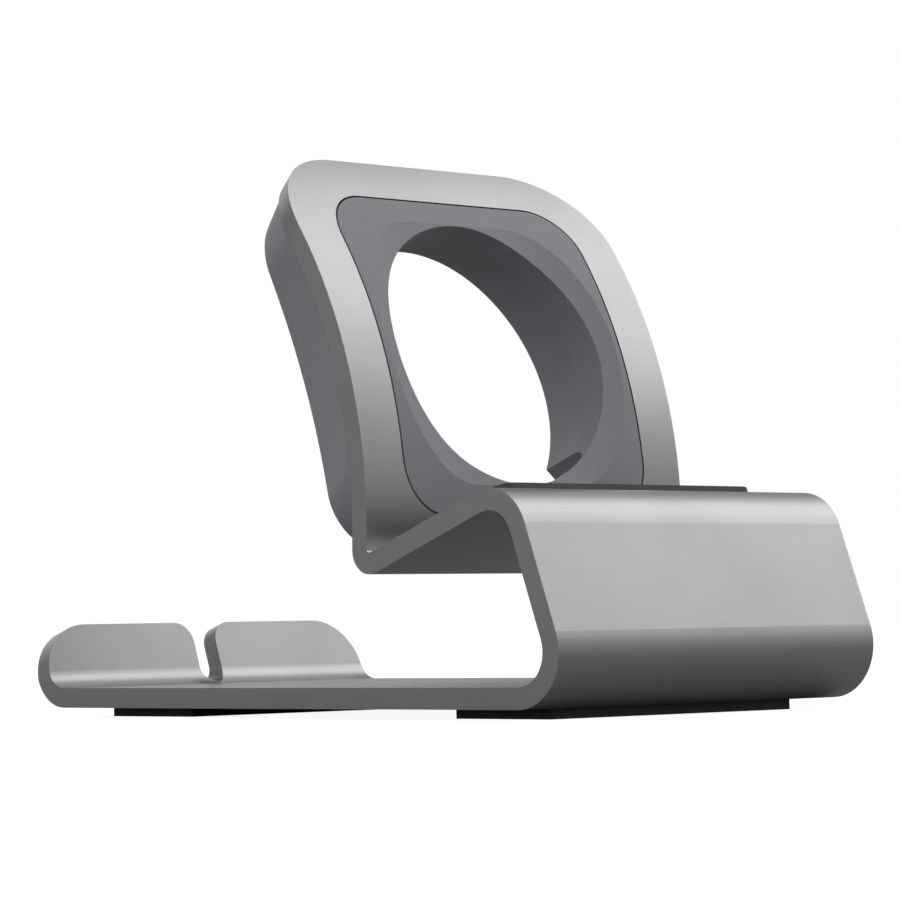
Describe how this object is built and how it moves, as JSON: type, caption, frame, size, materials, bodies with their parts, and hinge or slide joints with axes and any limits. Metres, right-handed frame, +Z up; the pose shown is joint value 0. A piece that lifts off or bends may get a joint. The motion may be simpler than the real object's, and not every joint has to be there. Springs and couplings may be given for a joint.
{
  "type": "smartwatch charging dock",
  "caption": "Bent sheet-metal charging stand for a smartwatch, with a tilted moulded holder for a round charging puck, a low shelf and upturned rear tabs with a cord slot.",
  "frame": {"origin": "bottom centre of the bounding box, on the surface that the stand's foot pads rest on", "axes": "+X towards the side that the watch faces, along the base; +Y across the strip; +Z up"},
  "size_m": [0.0762, 0.0432, 0.0544],
  "materials": {
    "satin_sheet": "satin",
    "moulded_holder": "matt",
    "pad_rubber": "matt"
  },
  "bodies": {
    "root": {"stand_body": "satin_sheet", "charger_holder": "moulded_holder", "shelf_pad": "pad_rubber", "front_foot_pad": "pad_rubber", "rear_foot_pad": "pad_rubber"}
  },
  "joints": []
}
